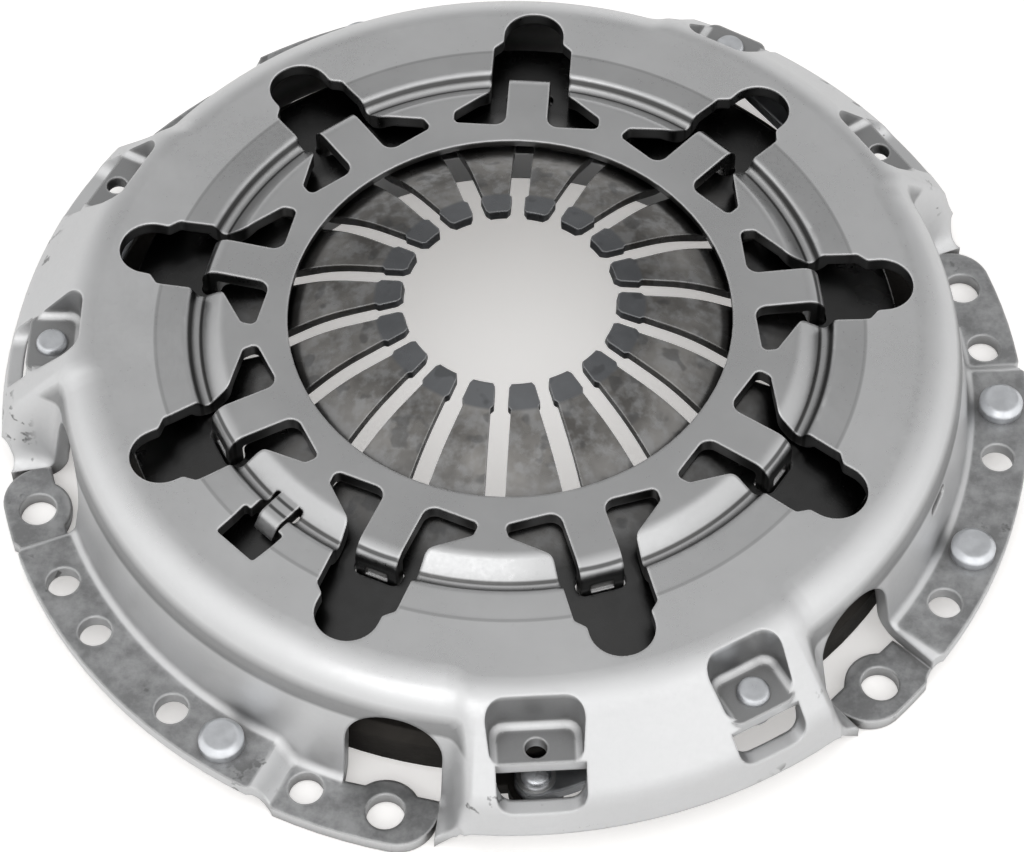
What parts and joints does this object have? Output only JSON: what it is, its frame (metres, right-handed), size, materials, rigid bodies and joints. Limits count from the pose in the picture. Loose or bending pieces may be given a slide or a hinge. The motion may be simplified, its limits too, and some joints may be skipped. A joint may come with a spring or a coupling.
{
  "type": "clutch pressure plate",
  "caption": "Diaphragm-spring clutch cover assembly: pressed steel cover, fingered spring, fulcrum ring and cast pressure plate on leaf straps, bolted to a flywheel",
  "frame": {"origin": "on the clutch axis, in the plane where the cover's bolting pads meet the flywheel", "axes": "+Z along the clutch axis away from the flywheel towards the release bearing; +Y through one crown window of the cover; +X completes a right-handed frame"},
  "size_m": [0.2559, 0.2566, 0.0453],
  "materials": {
    "pressed_steel": "satin pressed steel with a light oil film",
    "spring_steel": "heat-treated spring steel, darker towards the finger tips",
    "wire_steel": "drawn steel wire and plain washers",
    "cast_iron": "as cast, with a ground friction face",
    "zinc_plated_steel": "bright zinc plate"
  },
  "bodies": {
    "cover_body": {"cover": "pressed_steel", "diaphragm_spring": "spring_steel", "fulcrum_ring": "wire_steel", "strap_1_leaf_1": "spring_steel", "strap_1_leaf_2": "spring_steel", "strap_1_leaf_3": "spring_steel", "strap_1_leaf_4": "spring_steel", "strap_2_leaf_1": "spring_steel", "strap_2_leaf_2": "spring_steel", "strap_2_leaf_3": "spring_steel", "strap_2_leaf_4": "spring_steel", "strap_3_leaf_1": "spring_steel", "strap_3_leaf_2": "spring_steel", "strap_3_leaf_3": "spring_steel", "strap_3_leaf_4": "spring_steel", "cover_strap_rivets": "zinc_plated_steel", "balance_rivets": "zinc_plated_steel"},
    "plate_body": {"pressure_plate": "cast_iron", "plate_strap_rivets": "zinc_plated_steel", "plate_strap_washers": "wire_steel"}
  },
  "joints": [
    {"name": "plate_lift", "type": "slide", "parent": "cover_body", "child": "plate_body", "axis": [0, 0, 1], "range_m": [0, 0.006], "stiffness_N_per_m": 40000, "deforming": ["diaphragm_spring", "strap_1_leaf_1", "strap_1_leaf_2", "strap_1_leaf_3", "strap_1_leaf_4", "strap_2_leaf_1", "strap_2_leaf_2", "strap_2_leaf_3", "strap_2_leaf_4", "strap_3_leaf_1", "strap_3_leaf_2", "strap_3_leaf_3", "strap_3_leaf_4"]}
  ]
}
